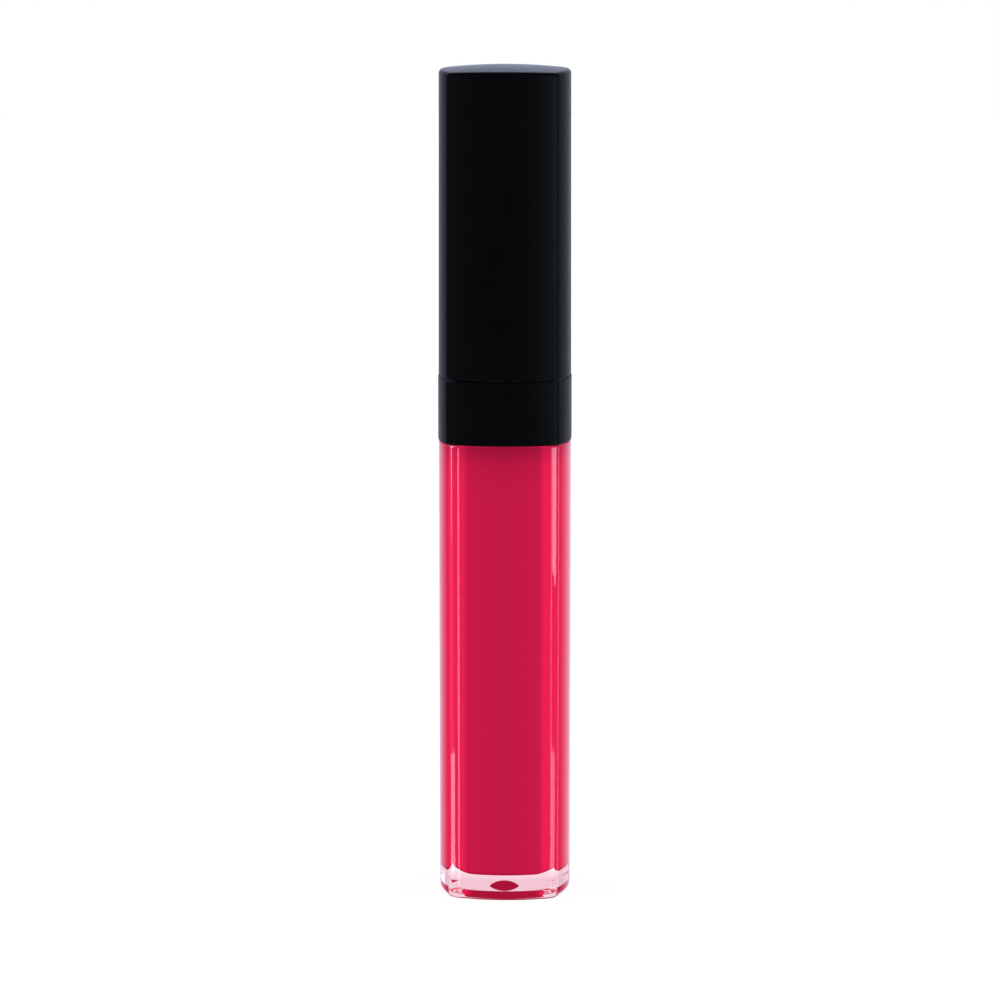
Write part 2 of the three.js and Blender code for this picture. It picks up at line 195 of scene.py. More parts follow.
CORE_RADIUS = 1.6
CORE_LENGTH = 14.8
CORE_NOSE = 4.0
CORE_FLATTENING = 0.82
PEG_RADIUS = 1.05
SLANT = math.tan(math.radians(11))
SLANT_OFFSET = 0.35
SLANT_ROUND = 0.12
FLOCK_INNER = 0.15  # from the core's surface to the sleeve's inside and outside
FLOCK_OUTER = 0.62
FLOCK_ROUGH = 0.06
FLOCK_EDGE_LOW = 0.15  # the sleeve's upper edge is broken from this far under its top
FLOCK_EDGE = 0.2
FLOCK_RINGS = 60
FUZZ_COARSE = 2.6  # lumps per mm in the flock's surface
FUZZ_FINE = 6.5
FUZZ_FINE_SHARE = 0.6
CORE_EDGE = 0.1
CORE_RINGS = 14
NOSE_START = 8  # degrees round the rounded tip, where its first ring is

# ---- Sections and skins ----

ARC_STEP = 12  # degrees along the arc of a rounded corner
SUPPORT = 1.25  # where the flats beside it get a point, as a share of where the arc ends
SHARP_ANGLE = 50  # degrees; an edge that turns by more keeps sharp shading


class Corner(NamedTuple):
    """A corner of a half section: distance from the axis, height, and how far it is rounded.
    square is 1 where the piece is square there and 0 where it is round; a crowned corner drops
    away from the axis as the top of the cap does."""

    size: float
    z: float
    round: float = 0.0
    square: float = 1.0
    crowned: bool = False


def reference_outline():
    """The square section at its reference size."""
    face_centre = REFERENCE_HALF - FACE_RADIUS
    reach = FACE_RADIUS - CORNER_RADIUS
    corner_centre = (face_centre + math.sqrt(2 * reach**2 - face_centre**2)) / 2
    half_face = math.atan2(corner_centre, corner_centre - face_centre)
    half_corner = math.pi / 4 - half_face
    points = []
    for side in range(4):
        facing = side * math.pi / 2
        diagonal = facing + math.pi / 4
        arcs = (
            (facing, face_centre, FACE_RADIUS, half_face, FACE_STEPS),
            (diagonal, corner_centre * math.sqrt(2), CORNER_RADIUS, half_corner, CORNER_STEPS),
        )
        for middle, centre, radius, half, steps in arcs:
            for i in range(steps):
                angle = middle - half + 2 * half * i / steps
                points.append((
                    centre * math.cos(middle) + radius * math.cos(angle),
                    centre * math.sin(middle) + radius * math.sin(angle),
                ))
    return points


OUTLINE = reference_outline()
OUTLINE_ANGLES = [math.atan2(y, x) for x, y in OUTLINE]


def levels(start, end, count):
    """Evenly spaced values from start to end, both included."""
    return [start + (end - start) * i / (count - 1) for i in range(count)]


def ring(corner, swell=None):
    """The section at one corner, as points in metres: a single one on the axis. swell(angle, z)
    adds to the radius."""
    if corner.size == 0:
        return [Vector((0, 0, corner.z)) * MM]
    points = []
    for (outline_x, outline_y), angle in zip(OUTLINE, OUTLINE_ANGLES):
        scale = corner.square * corner.size / REFERENCE_HALF
        radius = (1 - corner.square) * corner.size + (swell(angle, corner.z) if swell else 0.0)
        x = outline_x * scale + radius * math.cos(angle)
        y = outline_y * scale + radius * math.sin(angle)
        drop = (x * x + y * y) / (2 * CROWN_RADIUS) if corner.crowned else 0.0
        points.append(Vector((x, y, corner.z - drop)) * MM)
    return points


def softened(corners, looped=False):
    """The corners of a half section with each round one turned into an arc, between two points
    that keep the flats beside it flat."""
    result = []
    for i, corner in enumerate(corners):
        is_end = not looped and i in (0, len(corners) - 1)
        if corner.round == 0 or is_end:
            result.append(corner)
            continue
        here = Vector((corner.size, corner.z))
        before, after = corners[i - 1], corners[(i + 1) % len(corners)]
        back = (Vector((before.size, before.z)) - here).normalized()
        onward = (Vector((after.size, after.z)) - here).normalized()
        half_angle = back.angle(onward) / 2
        reach = corner.round / math.tan(half_angle)
        centre = here + (back + onward).normalized() * corner.round / math.sin(half_angle)
        start = here + back * reach - centre
        end = here + onward * reach - centre
        turn = start.angle_signed(end)
        steps = max(2, round(abs(turn) / math.radians(ARC_STEP)))
        points = [here + back * reach * SUPPORT]
        points += [centre + Matrix.Rotation(-turn * k / steps, 2) @ start for k in range(steps + 1)]
        points.append(here + onward * reach * SUPPORT)
        result += [corner._replace(size=x, z=z) for x, z in points]
    return result


def skin(name, rings, looped=False):
    """A closed surface through rings of points. A looped one joins its last ring to its first."""
    vertices, faces, starts = [], [], []
    for points in rings:
        starts.append((len(vertices), len(points)))
        vertices.extend(points)
    pairs = list(zip(starts, starts[1:]))
    if looped:
        pairs.append((starts[-1], starts[0]))
    for (a, in_a), (b, in_b) in pairs:
        count = max(in_a, in_b)
        for i in range(count):
            j = (i + 1) % count
            if in_a == 1:
                faces.append((a, b + j, b + i))
            elif in_b == 1:
                faces.append((a + i, a + j, b))
            else:
                faces.append((a + i, a + j, b + j, b + i))
    mesh = bpy.data.meshes.new(name)
    mesh.from_pydata(vertices, [], faces)
    mesh.shade_smooth()
    mesh.set_sharp_from_angle(angle=math.radians(SHARP_ANGLE))
    piece = bpy.data.objects.new(name, mesh)
    bpy.context.scene.collection.objects.link(piece)
    return piece


def moulded(name, corners, looped=False):
    """A piece whose half section is a list of corners."""
    return skin(name, [ring(corner) for corner in softened(corners, looped)], looped)


def place(piece, body, node, material):
    """Gives a finished piece its material and its body, and hides the CAD node that it stands for."""
    piece.data.materials.append(material)
    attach(piece, body)
    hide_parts(node)
    return piece


def ridge_height(angle, z, start_z, start_turn, turns):
    """How far a helical thread ridge stands out of its wall at a point of the wall."""
    height = 0.0
    for lap in range(-1, 3):
        turn = angle / (2 * math.pi) + lap - start_turn
        if not 0 <= turn <= turns:
            continue
        run_out = min(1.0, THREAD_RUN_OUT * min(turn, turns - turn) / turns)
        away = abs(z - (start_z + THREAD_LEAD * turn))
        flank = (THREAD_ROOT / 2 - away) / (THREAD_ROOT / 2 - THREAD_CREST / 2)
        height = max(height, THREAD_HEIGHT * run_out * min(1.0, max(0.0, flank)))
    return height


def threaded(radius, start_z, start_turn, turns, outward):
    """Rings up a round wall that carries a thread ridge, outwards or inwards. The first and last
    take the place of the wall's own corners there."""
    low = start_z - THREAD_ROOT
    high = start_z + THREAD_LEAD * turns + THREAD_ROOT

    def swell(angle, z):
        return outward * ridge_height(angle, z, start_z, start_turn, turns)

    return [ring(Corner(radius, z, square=0), swell) for z in levels(low, high, THREAD_LEVELS)]


# ---- Material helpers ----


class Shader:
    """A node material with one Principled shader, and the nodes that feed it."""

    def __init__(self, name, color, roughness, **values):
        self.material = bpy.data.materials.new(name)
        self.material.use_nodes = True
        self.tree = self.material.node_tree
        self.shader = self.tree.nodes["Principled BSDF"]
        self.place = self.node("ShaderNodeTexCoord").outputs["Object"]
        self.set("Base Color", (*color, 1))
        self.set("Roughness", roughness)
        for socket, value in values.items():
            self.set(socket.replace("_", " "), value)

    def node(self, kind, **settings):
        made = self.tree.nodes.new(kind)
        for key, value in settings.items():
            setattr(made, key, value)
        return made

    def set(self, socket, value):
        self.shader.inputs[socket].default_value = value

    def join(self, source, target):
        self.tree.links.new(source, target)

    def height(self):
        """Height above the base, in metres."""
        split = self.node("ShaderNodeSeparateXYZ")
        self.join(self.place, split.inputs["Vector"])
        return split.outputs["Z"]

    def noise(self, size_mm, detail=3.0, stretch=(1, 1, 1)):
        """Noise whose features are about size_mm across, optionally stretched."""
        mapping = self.node("ShaderNodeMapping")
        mapping.inputs["Scale"].default_value = [1 / s for s in stretch]
        self.join(self.place, mapping.inputs["Vector"])
        texture = self.node("ShaderNodeTexNoise")
        texture.inputs["Scale"].default_value = 1 / (size_mm * MM)
        texture.inputs["Detail"].default_value = detail
        self.join(mapping.outputs["Vector"], texture.inputs["Vector"])
        return texture.outputs["Fac"]

    def spread(self, value, low, high, from_low=0.3, from_high=0.7):
        """A value mapped from its usual range onto low to high."""
        mapped = self.node("ShaderNodeMapRange")
        mapped.inputs["From Min"].default_value = from_low
        mapped.inputs["From Max"].default_value = from_high
        mapped.inputs["To Min"].default_value = low
        mapped.inputs["To Max"].default_value = high
        self.join(value, mapped.inputs["Value"])
        return mapped.outputs["Result"]

    def rough(self, value, low, high):
        self.join(self.spread(value, low, high), self.shader.inputs["Roughness"])

    def blend(self, value, first, second):
        """Base colour from first to second as value goes from 0 to 1."""
        mix = self.node("ShaderNodeMix", data_type="RGBA")
        self.join(value, mix.inputs["Factor"])
        mix.inputs["A"].default_value = (*first, 1)
        mix.inputs["B"].default_value = (*second, 1)
        self.join(mix.outputs["Result"], self.shader.inputs["Base Color"])

    def bump(self, value, height_mm, strength=1.0):
        bump = self.node("ShaderNodeBump")
        bump.inputs["Strength"].default_value = strength
        bump.inputs["Distance"].default_value = height_mm * MM
        self.join(value, bump.inputs["Height"])
        self.join(bump.outputs["Normal"], self.shader.inputs["Normal"])


# ---- Materials ----


def clear_plastic():
    """Clear wall; the heavy base is tinted pink with painted light, for the red light that the gloss
    above it throws into it.
    """
    made = Shader(
        "clear_bottle", (1.0, 0.972, 0.98), 0.015,
        Transmission_Weight=1.0, IOR=1.57,
    )
    # Painted light: the pink stands in for light bounced from the gloss. It is full at the bottom of the
    # base and fades out higher up.
    upward = made.spread(made.height(), 0, 1, BOUNCE_LIGHT_FULL * MM, BOUNCE_LIGHT_NONE * MM)
    made.blend(upward, (0.97, 0.62, 0.72), (1.0, 0.972, 0.98))
    made.rough(made.noise(6, stretch=(1, 1, 6)), 0.008, 0.03)
    made.bump(made.noise(9, 1.0, stretch=(1, 1, 5)), 0.004, 0.35)
    return made.material


def gloss_liquid():
    """Deep crimson, matched to its wall, so it has no surface shine; painted shade makes its underside,
    which stands over the shaded floor, darker."""
    made = Shader("lip_gloss", (0.78, 0.0125, 0.083), 0.12, IOR=1.46, Specular_IOR_Level=0.0)
    sway = made.spread(made.noise(14, 2.0, stretch=(1, 1, 3)), -0.25 * MM, 0.05 * MM)
    upward = made.node("ShaderNodeMath", operation="ADD")
    made.join(made.height(), upward.inputs[0])
    made.join(sway, upward.inputs[1])
    shaded_top = CAVITY_FLOOR + SHADED_DEPTH
    depth = made.spread(upward.outputs["Value"], 0, 1, CAVITY_FLOOR * MM, shaded_top * MM)
    # Painted shade: the bottom of the gloss is a darker crimson, for the shaded floor under it, with a
    # noisy edge.
    made.blend(depth, (0.66, 0.0100, 0.07), (0.785, 0.0127, 0.084))
    made.rough(made.noise(5), 0.1, 0.2)
    made.bump(made.noise(3, 2.0), 0.01, 0.2)
    return made.material


def satin_black(name, roughness):
    """Nearly black and hardly shiny, with a lilac sheen at grazing angles."""
    made = Shader(
        name, (0.0030, 0.0032, 0.0039), roughness,
        IOR=1.5, Specular_IOR_Level=0.05, Sheen_Weight=0.37, Sheen_Roughness=0.25,
    )
    made.set("Sheen Tint", (0.60, 0.70, 1.0, 1))
    mottle = made.noise(4, 4.0)
    tone = made.spread(mottle, 0, 1)
    made.blend(tone, (0.0027, 0.0029, 0.0036), (0.0034, 0.0036, 0.0043))
    made.rough(made.noise(1.6, 5.0), roughness - 0.03, roughness + 0.03)
    made.bump(made.noise(0.16, 2.0), 0.012, 0.5)
    return made.material


def moulded_black(name, roughness):
    made = Shader(name, (0.008, 0.008, 0.009), roughness, IOR=1.5)
    tone = made.spread(made.noise(3), 0, 1)
    made.blend(tone, (0.007, 0.007, 0.008), (0.011, 0.011, 0.012))
    made.rough(made.noise(1.2, 4.0, stretch=(1, 1, 4)), roughness - 0.06, roughness + 0.08)
    made.bump(made.noise(0.5, 3.0, stretch=(1, 1, 3)), 0.006, 0.3)
    return made.material


def milky_plastic():
    made = Shader(
        "wiper_plastic", (0.82, 0.79, 0.76), 0.35,
        IOR=1.5, Subsurface_Weight=0.4, Subsurface_Scale=0.001,
    )
    wet = made.spread(made.noise(2.2, 3.0), 0, 1, 0.45, 0.62)
    made.blend(wet, (0.84, 0.80, 0.78), (0.80, 0.34, 0.40))
    made.rough(made.noise(0.8), 0.22, 0.42)
    made.bump(made.noise(0.4), 0.008, 0.4)
    return made.material


def foam():
    made = Shader("liner_foam", (0.84, 0.83, 0.79), 0.7, IOR=1.45)
    made.rough(made.noise(0.6), 0.6, 0.8)
    tone = made.spread(made.noise(0.25, 2.0), 0, 1)
    made.blend(tone, (0.76, 0.74, 0.70), (0.86, 0.85, 0.81))
    made.bump(made.noise(0.12, 2.0), 0.02, 0.6)
    return made.material


def turned_steel():
    made = Shader("weight_metal", (0.46, 0.47, 0.48), 0.34, Metallic=1.0)
    marks = made.noise(0.35, 4.0, stretch=(30, 30, 1))
    made.rough(marks, 0.26, 0.44)
    tone = made.spread(made.noise(2.0), 0, 1)
    made.blend(tone, (0.42, 0.43, 0.44), (0.52, 0.53, 0.54))
    made.bump(marks, 0.004, 0.5)
    return made.material


def wand_plastic():
    """Polished black rod that comes out of the gloss with a thin film of it on the lower part."""
    made = Shader("stem_plastic", (0.008, 0.008, 0.009), 0.2, IOR=1.5, Coat_Weight=0.6)
    made.set("Coat Roughness", 0.05)
    film = made.spread(made.height(), 1.15, -0.35, STEM_LOW * MM, (STEM_LOW + FILM_HEIGHT) * MM)
    patch = made.node("ShaderNodeMath", operation="ADD")
    made.join(film, patch.inputs[0])
    made.join(made.spread(made.noise(3.0, 3.0, stretch=(1, 1, 3)), -0.5, 0.5), patch.inputs[1])
    wet = made.spread(patch.outputs["Value"], 0, 1, 0.25, 0.6)
    made.blend(wet, (0.008, 0.008, 0.009), (0.34, 0.006, 0.035))
    made.rough(made.noise(1.5), 0.14, 0.28)
    made.bump(made.noise(1.1, 2.0), 0.02, 0.35)
    return made.material


def core_plastic():
    made = Shader("core_plastic", (0.72, 0.68, 0.64), 0.45, IOR=1.5)
    tone = made.spread(made.noise(1.0), 0, 1)
    made.blend(tone, (0.74, 0.70, 0.66), (0.66, 0.40, 0.42))
    made.rough(made.noise(0.7), 0.36, 0.55)
    made.bump(made.noise(0.3), 0.01, 0.4)
    return made.material


def wet_flock():
    made = Shader("flock", (0.50, 0.012, 0.055), 0.55, IOR=1.46, Sheen_Weight=0.5)
    made.set("Sheen Roughness", 0.4)
    made.set("Sheen Tint", (1.0, 0.45, 0.55, 1))
    clump = made.noise(0.35, 3.0, stretch=(1, 1, 1.6))
    made.blend(made.spread(clump, 0, 1), (0.40, 0.007, 0.040), (0.66, 0.022, 0.085))
    made.rough(made.noise(0.8), 0.3, 0.7)
    made.bump(made.noise(0.07, 2.0), 0.05, 0.8)
    return made.material


# ---- Pieces ----


def dimple_corners():
    """The round dimple in the ceiling of the base recess, from its middle to its rim."""
    sphere = (DIMPLE_RADIUS**2 + DIMPLE_DEPTH**2) / (2 * DIMPLE_DEPTH)
    top = RECESS_DEPTH + DIMPLE_DEPTH
    corners = []
    for size in levels(0, DIMPLE_RADIUS, DIMPLE_STEPS):
        corners.append(Corner(size, top - sphere + math.sqrt(sphere**2 - size**2), square=0))
    return corners[:-1] + [corners[-1]._replace(round=0.1)]


def bottle():
    outside = dimple_corners() + [
        Corner(RECESS_TOP_HALF, RECESS_DEPTH, 0.12),
        Corner(RECESS_HALF, 0, 0.12),
        Corner(BOTTLE_HALF_BASE, 0, BASE_FILLET),
        Corner(BOTTLE_HALF_TOP, SHOULDER, 0.15),
        Corner(REBATE_HALF, SHOULDER, 0.1),
        Corner(REBATE_HALF, REBATE_TOP, 0.3),
        Corner(NECK_RING, REBATE_TOP, 0.1, square=0),
        Corner(NECK_RING, NECK_RING_TOP, 0.2, square=0),
        Corner(NECK_RADIUS, NECK_RING_TOP, 0.25, square=0),
        Corner(NECK_RADIUS, NECK_THREAD - THREAD_ROOT, square=0),
    ]
    inside = [
        Corner(NECK_RADIUS, NECK_THREAD + THREAD_LEAD * NECK_THREAD_TURNS + THREAD_ROOT, square=0),
        Corner(NECK_RADIUS, NECK_TOP, 0.25, square=0),
        Corner(NECK_BORE, NECK_TOP, 0.2, square=0),
        Corner(NECK_BORE, CAVITY_TOP, 0.1, square=0),
        Corner(CAVITY_HALF, CAVITY_TOP, CAVITY_FILLET),
        Corner(CAVITY_HALF, CAVITY_FLOOR, CAVITY_FILLET),
        Corner(0, CAVITY_FLOOR),
    ]
    thread = threaded(NECK_RADIUS, NECK_THREAD, 0.0, NECK_THREAD_TURNS, 1)
    rings = [ring(corner) for corner in softened(outside)[:-1]] + thread
    rings += [ring(corner) for corner in softened(inside)[1:]]
    made = skin("bottle_wall", rings)
    place(made, "bottle", "bottle", clear_plastic())
    made.visible_shadow = False
    made.visible_diffuse = False


def gloss():
    """The gloss wets the wall and climbs it a little at the top; the wand stands in a channel."""
    half = CAVITY_HALF + WETTING
    floor = CAVITY_FLOOR - WETTING
    channel_floor = FLOCK_LOW - MENISCUS
    made = moulded("gloss_body", [
        Corner(0, floor),
        Corner(half, floor, CAVITY_FILLET),
        Corner(half, GLOSS_HIGH),
        Corner(half - MENISCUS, GLOSS_HIGH - MENISCUS, MENISCUS),
        Corner(CHANNEL_RADIUS + MENISCUS, GLOSS_HIGH - MENISCUS, MENISCUS / 2, square=0),
        Corner(CHANNEL_RADIUS, GLOSS_HIGH - MENISCUS / 2, square=0),
        Corner(CHANNEL_RADIUS, channel_floor, MENISCUS, square=0),
        Corner(0, channel_floor, square=0),
    ])
    place(made, "bottle", "gloss_fill", gloss_liquid())


def collar(material):
    """Ring pressed over the bottle's rebate, with a relief groove in its top, inside the rim."""
    pocket = REBATE_HALF + GAP
    hole = NECK_RING + GAP
    step = REBATE_TOP + GAP
    made = moulded("collar_ring", [
        Corner(pocket, COLLAR_LOW, 0.08),
        Corner(COLLAR_HALF, COLLAR_LOW, 0.12),
        Corner(COLLAR_HALF, COLLAR_HIGH, 0.04),
        Corner(COLLAR_HALF - SEAM_RUN, COLLAR_HIGH - SEAM_DEPTH, 0.05),
        Corner(COLLAR_HALF - SEAM_WIDTH, COLLAR_HIGH - SEAM_DEPTH, 0.05),
        Corner(COLLAR_HALF - SEAM_WIDTH - SEAM_SLOPE, COLLAR_HIGH, 0.04),
        Corner(hole, COLLAR_HIGH, 0.15, square=0),
        Corner(hole, step, 0.05, square=0),
        Corner(pocket, step, 0.1),
    ], looped=True)
    place(made, "bottle", "collar", material)


def outer_cap(material):
    """Shell with a crowned top, and a rib down the inside of each face that holds the weight."""
    quarter = math.pi / 2

    def ribs(angle, z):
        sideways = abs((angle + quarter / 2) % quarter - quarter / 2) * RIB_REACH
        return RIB_REACH - CAP_HOLLOW_HALF if sideways < RIB_WIDTH / 2 else 0.0

    edge_half = CAP_HALF_TOP - CAP_FILLET
    top = cad_box[1][2] / MM
    hollow_top = CAP_HIGH - CAP_TOP_WALL
    wall_top = top - CAP_FILLET - (edge_half**2) / (2 * CROWN_RADIUS)
    ribbed = [Corner(CAP_HOLLOW_HALF, z) for z in levels(hollow_top - HOLLOW_FLAT, RIB_LOW, RIB_RINGS)]
    ceiling = softened([
        Corner(0, hollow_top),
        Corner(CAP_HOLLOW_HALF, hollow_top, HOLLOW_FILLET),
        ribbed[0],
    ])
    side = softened([
        Corner(CAP_HOLLOW_HALF, RIB_LOW - LEDGE),
        Corner(CAP_HOLLOW_HALF, CAP_LOW, 0.1),
        Corner(CAP_HALF_MOUTH, CAP_LOW, 0.08),
        Corner(CAP_HALF_TOP, wall_top),
    ])
    rim = [
        Corner(
            edge_half + CAP_FILLET * math.cos(math.radians(turn)),
            top - CAP_FILLET * (1 - math.sin(math.radians(turn))),
            crowned=True,
        )
        for turn in levels(0, 90, RIM_RINGS)
    ]
    crown_sizes = levels(edge_half - CROWN_START, 0, CROWN_RINGS)
    crown = [Corner(size, top, crowned=True) for size in crown_sizes]
    rings = [ring(corner) for corner in ceiling[:-1]]
    rings += [ring(corner, ribs) for corner in ribbed]
    rings += [ring(corner) for corner in side[:-1] + rim + crown]
    made = skin("cap_shell", rings)
    place(made, "cap", "outer_cap", material)


def inner_cap():
    """Threaded skirt, ceiling with the wand hole, socket ring for the weight, and corner fins."""
    quarter = math.pi / 2
    fin_low = INNER_LOW + FIN_LIFT

    def fins(angle, z):
        sideways = abs(angle % quarter - quarter / 2) * FIN_REACH
        return FIN_REACH - INNER_OUTER if sideways < FIN_WIDTH / 2 else 0.0

    thread = threaded(INNER_BORE, CAP_THREAD, 0.25, CAP_THREAD_TURNS, -1)
    bore = [
        Corner(STEM_HOLE, CEILING_LOW, square=0),
        Corner(INNER_BORE, CEILING_LOW, 0.3, square=0),
        Corner(INNER_BORE, CAP_THREAD + THREAD_LEAD * CAP_THREAD_TURNS + THREAD_ROOT, square=0),
    ]
    skirt = [
        Corner(INNER_BORE, CAP_THREAD - THREAD_ROOT, square=0),
        Corner(INNER_BORE, INNER_LOW, 0.25, square=0),
        Corner(INNER_OUTER, INNER_LOW, 0.1, square=0),
        Corner(INNER_OUTER, fin_low - LEDGE, square=0),
    ]
    finned = [Corner(INNER_OUTER, z, square=0) for z in (fin_low, CEILING_HIGH)]
    socket = [
        Corner(INNER_OUTER, CEILING_HIGH + LEDGE, square=0),
        Corner(SOCKET_OUTER, CEILING_HIGH + LEDGE, 0.1, square=0),
        Corner(SOCKET_OUTER, INNER_HIGH, 0.15, square=0),
        Corner(SOCKET_BORE, INNER_HIGH, 0.15, square=0),
        Corner(SOCKET_BORE, CEILING_HIGH, 0.1, square=0),
        Corner(STEM_HOLE, CEILING_HIGH, square=0),
    ]
    rings = [ring(corner) for corner in softened(bore)[:-1]]
    rings += list(reversed(thread))
    rings += [ring(corner) for corner in softened(skirt)[1:]]
    rings += [ring(corner, fins) for corner in finned]
    rings += [ring(corner) for corner in softened(socket)]
    made = skin("inner_cap_liner", rings, looped=True)
    place(made, "cap", "inner_cap", moulded_black("inner_cap_plastic", 0.3))


def wiper():
    flange_low = WIPER_HIGH - WIPER_FLANGE_THICKNESS
    cone_top = WIPER_LOW + WIPER_CONE_HEIGHT
    made = moulded("wiper_insert", [
        Corner(WIPER_ORIFICE, WIPER_LOW, 0.1, square=0),
        Corner(WIPER_ORIFICE + WIPER_LIP_WALL, WIPER_LOW, 0.12, square=0),
        Corner(WIPER_OUTER, cone_top, 0.4, square=0),
        Corner(WIPER_OUTER, flange_low, 0.1, square=0),
        Corner(WIPER_FLANGE, flange_low, 0.15, square=0),
        Corner(WIPER_FLANGE, WIPER_HIGH, 0.25, square=0),
        Corner(WIPER_BORE, WIPER_HIGH, 0.3, square=0),
        Corner(WIPER_BORE, cone_top + WIPER_LIP_WALL, 0.4, square=0),
        Corner(WIPER_ORIFICE, WIPER_LOW + WIPER_LIP_WALL, 0.2, square=0),
    ], looped=True)
    place(made, "bottle", "wiper", milky_plastic())


def seal_liner():
    """Foam washer round the wand."""
    made = moulded("liner_washer", [
        Corner(LINER_BORE, LINER_LOW, 0.15, square=0),
        Corner(LINER_RADIUS, LINER_LOW, 0.15, square=0),
        Corner(LINER_RADIUS, LINER_HIGH, 0.15, square=0),
        Corner(LINER_BORE, LINER_HIGH, 0.15, square=0),
    ], looped=True)
    place(made, "liner", "seal_liner", foam())


def cap_weight():
    """Turned slug with three shallow grooves and a centre-drill mark in its top."""
    lowest, highest = WEIGHT_LOW + WEIGHT_GROOVE_INSET, WEIGHT_HIGH - WEIGHT_GROOVE_INSET
    grooves = []
    for z in levels(lowest, highest, WEIGHT_GROOVES):
        grooves += [
            Corner(WEIGHT_RADIUS, z - WEIGHT_GROOVE, 0.05, square=0),
            Corner(WEIGHT_RADIUS - WEIGHT_GROOVE, z, 0.05, square=0),
            Corner(WEIGHT_RADIUS, z + WEIGHT_GROOVE, 0.05, square=0),
        ]
    made = moulded("weight_slug", [
        Corner(0, WEIGHT_LOW),
        Corner(WEIGHT_RADIUS, WEIGHT_LOW, WEIGHT_EDGE, square=0),
        *grooves,
        Corner(WEIGHT_RADIUS, WEIGHT_HIGH, WEIGHT_EDGE, square=0),
        Corner(DRILL_RADIUS, WEIGHT_HIGH, 0.05, square=0),
        Corner(0, WEIGHT_HIGH - DRILL_DEPTH),
    ])
    place(made, "weight", "cap_weight", turned_steel())


def wand_stem():
    made = moulded("wand_rod", [
        Corner(0, STEM_LOW + STEM_SOCKET_DEPTH),
        Corner(STEM_SOCKET, STEM_LOW + STEM_SOCKET_DEPTH, 0.1, square=0),
        Corner(STEM_SOCKET, STEM_LOW, 0.08, square=0),
        Corner(STEM_RADIUS, STEM_LOW, 0.2, square=0),
        Corner(STEM_RADIUS, HEAD_LOW, 0.1, square=0),
        Corner(HEAD_RADIUS, HEAD_LOW, 0.15, square=0),
        Corner(HEAD_RADIUS, HEAD_HIGH, 0.15, square=0),
        Corner(BOSS_RADIUS, HEAD_HIGH, 0.15, square=0),
        Corner(BOSS_RADIUS, STEM_HIGH, 0.3, square=0),
        Corner(0, STEM_HIGH),
    ])
    place(made, "cap", "wand_stem", wand_plastic())


def doe_foot_ring(radius, z, skin_depth, rough=0.0):
    """A flattened section of the applicator, cut off at one side by the slanted face."""
    limit = SLANT_OFFSET + skin_depth + (z - CORE_LOW) * SLANT
    points = []
    for angle in OUTLINE_ANGLES:
        spot = Vector((radius * math.cos(angle), radius * math.sin(angle), z))
        fuzz = rough * (noise.noise(spot * FUZZ_COARSE) + FUZZ_FINE_SHARE * noise.noise(spot * FUZZ_FINE))
        x = (radius + fuzz) * math.cos(angle)
        y = (radius + fuzz) * math.sin(angle) * CORE_FLATTENING
        over = x - (limit + fuzz)
        x -= (over + math.hypot(over, SLANT_ROUND)) / 2
        points.append(Vector((x, y, z)) * MM)
    return points


def bullet(skin_depth, length, count):
    """Radius and height up the applicator, from just above its rounded tip."""
    radius = CORE_RADIUS + skin_depth
    reach = CORE_NOSE + skin_depth
    shoulder = CORE_LOW + CORE_NOSE
    profile = []
    for degrees in levels(NOSE_START, 90, count):
        turn = math.radians(degrees)
        profile.append((radius * math.sin(turn), shoulder - reach * math.cos(turn)))
    return profile + [(radius, z) for z in levels(shoulder, CORE_LOW + length, count)[1:]]


def applicator_core():
    top = CORE_LOW + CORE_LENGTH
    peg = softened([
        Corner(CORE_RADIUS / 2, top, square=0),
        Corner(PEG_RADIUS, top, 0.1, square=0),
        Corner(PEG_RADIUS, CORE_HIGH, 0.2, square=0),
        Corner(0, CORE_HIGH),
    ])
    rings = [ring(Corner(0, CORE_LOW))]
    body = bullet(0.0, CORE_LENGTH - CORE_EDGE, CORE_RINGS)
    rings += [doe_foot_ring(radius, z, 0.0) for radius, z in body]
    rings.append(doe_foot_ring(CORE_RADIUS - CORE_EDGE, top, 0.0))
    rings += [ring(corner) for corner in peg[1:]]
    made = skin("doe_foot_core", rings)
    place(made, "cap", "applicator_core", core_plastic())


def applicator_flock():
    length = FLOCK_HIGH - CORE_LOW
    outer = bullet(FLOCK_OUTER, length - FLOCK_EDGE_LOW, FLOCK_RINGS)
    inner = bullet(FLOCK_INNER, length, CORE_RINGS)
    rings = [ring(Corner(0, CORE_LOW - FLOCK_OUTER))]
    rings += [doe_foot_ring(radius, z, FLOCK_OUTER, FLOCK_ROUGH) for radius, z in outer]
    edge_skin = FLOCK_OUTER - FLOCK_EDGE
    rings.append(doe_foot_ring(CORE_RADIUS + FLOCK_OUTER - FLOCK_EDGE, FLOCK_HIGH, edge_skin))
    rings += [doe_foot_ring(radius, z, FLOCK_INNER) for radius, z in reversed(inner)]
    rings.append(ring(Corner(0, CORE_LOW - FLOCK_INNER)))
    made = skin("doe_foot_flock", rings)
    place(made, "cap", "applicator_flock", wet_flock())


# ---- Stage, light and camera ----

VIEW_TURN = 2.2  # degrees that the camera stands to the right of the front face
VIEW_RISE = 8.5
VIEW_DISTANCE = 600 * MM
LAMP_DISTANCE = 900 * MM
LAMP_COLOR = (0.62, 0.91, 1.0)
LENS = 169.2
AIM_LEFT = 0.63 * MM
AIM_DOWN = 2.4 * MM
SENSOR_WIDTH = 36
CLIP_START = 10 * MM
FLOOR_RADIUS = 1400 * MM
FLOOR_SIDES = 96
FLOOR_GLOW = 0.68  # emission that brings the lit floor up to white
GLOSSY_BOUNCES = 12  # light runs round inside the clear base by reflection alone


def direction(azimuth, elevation):
    """Unit vector from the tube to a place round it; azimuth 0 is in front, 90 is to the right."""
    a, e = math.radians(azimuth), math.radians(elevation)
    return Vector((math.sin(a) * math.cos(e), -math.cos(a) * math.cos(e), math.sin(e)))


